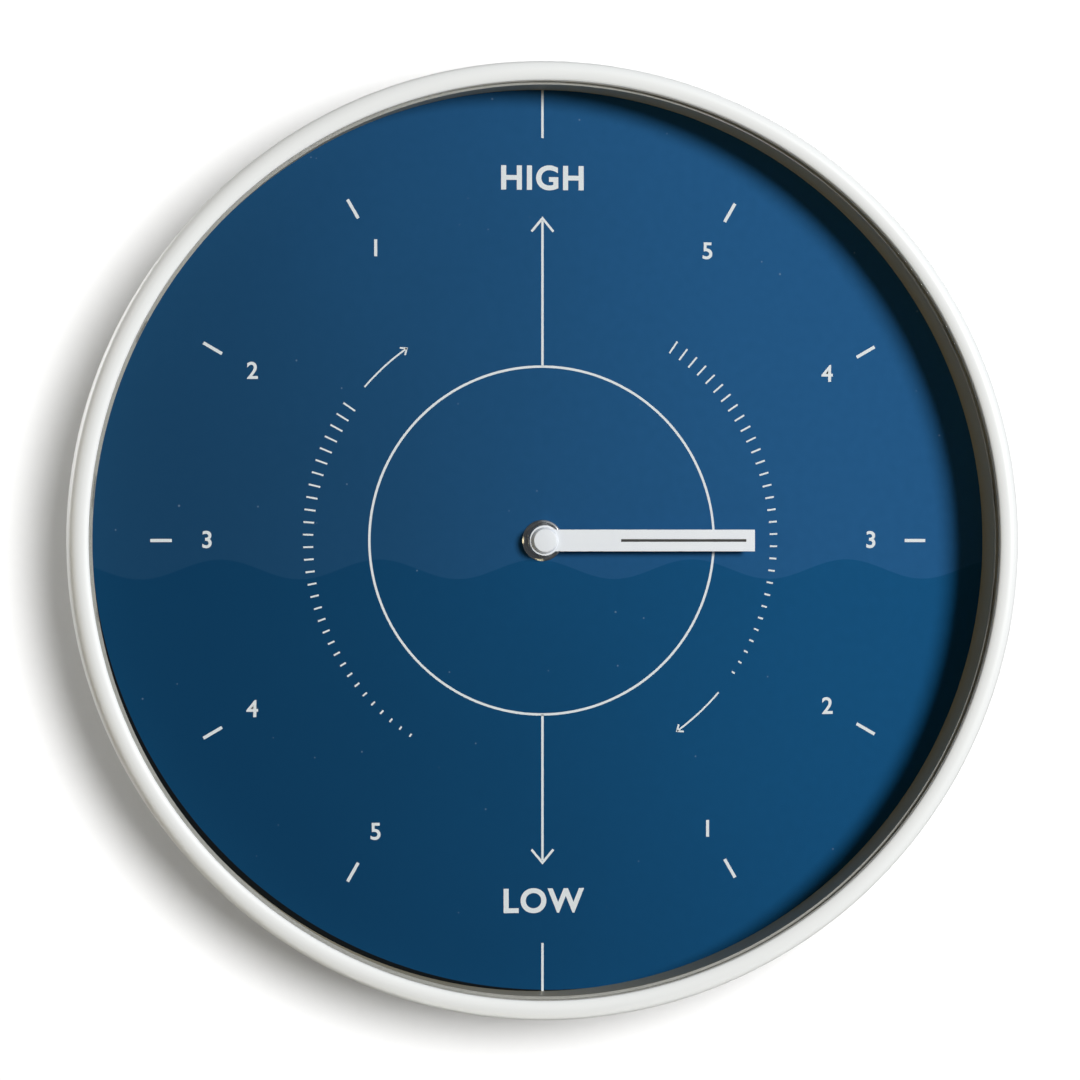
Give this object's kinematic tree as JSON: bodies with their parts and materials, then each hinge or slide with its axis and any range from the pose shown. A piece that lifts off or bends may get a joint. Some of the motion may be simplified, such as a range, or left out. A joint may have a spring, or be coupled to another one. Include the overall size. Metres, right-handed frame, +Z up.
{
  "type": "tide clock",
  "caption": "Round wall-hung tide clock: deep white ring, flat glass, wave-banded blue dial and a bar hand that a battery movement turns once in each lunar half-day.",
  "frame": {"origin": "centre of the ring's back edge, on the wall and on the hand's axis", "axes": "+Z up to the top of the dial, +Y into the wall, +X to the right of the dial, which faces -Y"},
  "size_m": [0.3, 0.044, 0.3],
  "materials": {
    "white_plastic": "semi-gloss moulded",
    "clear_glass": "clear float glass",
    "grey_seal": "soft adhesive ring",
    "dial_print": "matt printed card",
    "zinc_steel": "zinc plated",
    "nickel": "nickel plated",
    "spring_steel": "tinned strip",
    "white_paint": "white painted sheet",
    "brass": "turned",
    "black_rubber": "moulded",
    "black_plastic": "fine spark texture",
    "gear_plastic": "natural acetal",
    "arbor_steel": "turned and hardened",
    "soft_iron": "stamped and annealed",
    "copper_wire": "enamelled",
    "board_green": "solder mask",
    "cell_sleeve": "printed film over a steel can"
  },
  "bodies": {
    "case": {"case_ring": "white_plastic", "lens": "clear_glass", "lens_seal": "grey_seal", "dial": "dial_print", "back_pan": "white_plastic", "pan_screws": "zinc_steel", "hanger_plate": "zinc_steel", "hanger_screws": "zinc_steel", "bush_nut": "nickel", "nut_washer": "nickel", "rubber_washer": "black_rubber", "movement_base": "black_plastic", "movement_lid": "black_plastic", "lid_screws": "zinc_steel", "centre_bush": "brass", "train_bridge": "gear_plastic", "bridge_screws": "zinc_steel", "stator": "soft_iron", "coil_core": "soft_iron", "coil_bobbin": "gear_plastic", "coil_winding": "copper_wire", "circuit_board": "board_green", "driver_chip": "black_plastic", "quartz_crystal": "nickel", "positive_contact": "spring_steel", "negative_contact": "spring_steel"},
    "hand_body": {"tide_wheel": "gear_plastic", "hand": "white_paint", "hand_bush": "brass", "hub_cap": "white_paint"},
    "centre_body": {"centre_arbor": "arbor_steel", "clutch_spring": "spring_steel"},
    "minute_body": {"minute_wheel": "gear_plastic"},
    "setting_body": {"setting_arbor": "gear_plastic", "setting_knob": "black_plastic"},
    "drive_body": {"centre_wheel": "gear_plastic"},
    "third_body": {"third_wheel": "gear_plastic"},
    "second_body": {"second_wheel": "gear_plastic"},
    "first_body": {"first_wheel": "gear_plastic"},
    "rotor_body": {"rotor_pinion": "gear_plastic", "rotor_magnet": "soft_iron"},
    "battery_body": {"battery_cell": "cell_sleeve"}
  },
  "joints": [
    {"name": "hand_turn", "type": "hinge", "parent": "case", "child": "hand_body", "pos_m": [0, -0.0184, 0], "axis": [0, 1, 0], "continuous": true},
    {"name": "minute_turn", "type": "hinge", "parent": "case", "child": "minute_body", "pos_m": [-0.0087, -0.0184, 0], "axis": [0, 1, 0], "continuous": true},
    {"name": "centre_turn", "type": "hinge", "parent": "case", "child": "centre_body", "pos_m": [0, -0.0184, 0], "axis": [0, 1, 0], "continuous": true},
    {"name": "setting_turn", "type": "hinge", "parent": "case", "child": "setting_body", "pos_m": [-0.01367, -0.0184, 0.00861], "axis": [0, 1, 0], "continuous": true},
    {"name": "rotor_spin", "type": "hinge", "parent": "case", "child": "rotor_body", "pos_m": [0.01123, -0.0184, 0.01784], "axis": [0, 1, 0], "continuous": true},
    {"name": "first_turn", "type": "hinge", "parent": "case", "child": "first_body", "pos_m": [0.01237, -0.0184, 0.01134], "axis": [0, 1, 0], "continuous": true},
    {"name": "second_turn", "type": "hinge", "parent": "case", "child": "second_body", "pos_m": [0.01455, -0.0184, 0.00323], "axis": [0, 1, 0], "continuous": true},
    {"name": "third_turn", "type": "hinge", "parent": "case", "child": "third_body", "pos_m": [0.00643, -0.0184, 0.0054], "axis": [0, 1, 0], "continuous": true},
    {"name": "drive_turn", "type": "hinge", "parent": "case", "child": "drive_body", "pos_m": [0, -0.0184, 0], "axis": [0, 1, 0], "continuous": true},
    {"name": "battery_slide", "type": "slide", "parent": "case", "child": "battery_body", "axis": [0, 1, 0], "range_m": [0, 0.02]}
  ],
  "couplings": [
    {"joint": "minute_turn", "follows": "hand_turn", "ratio": -3.8333},
    {"joint": "centre_turn", "follows": "hand_turn", "ratio": 23},
    {"joint": "setting_turn", "follows": "hand_turn", "ratio": 11.5},
    {"joint": "first_turn", "follows": "rotor_spin", "ratio": -0.22222},
    {"joint": "second_turn", "follows": "rotor_spin", "ratio": 0.037037},
    {"joint": "third_turn", "follows": "rotor_spin", "ratio": -0.0061728},
    {"joint": "drive_turn", "follows": "rotor_spin", "ratio": 0.0010288}
  ]
}
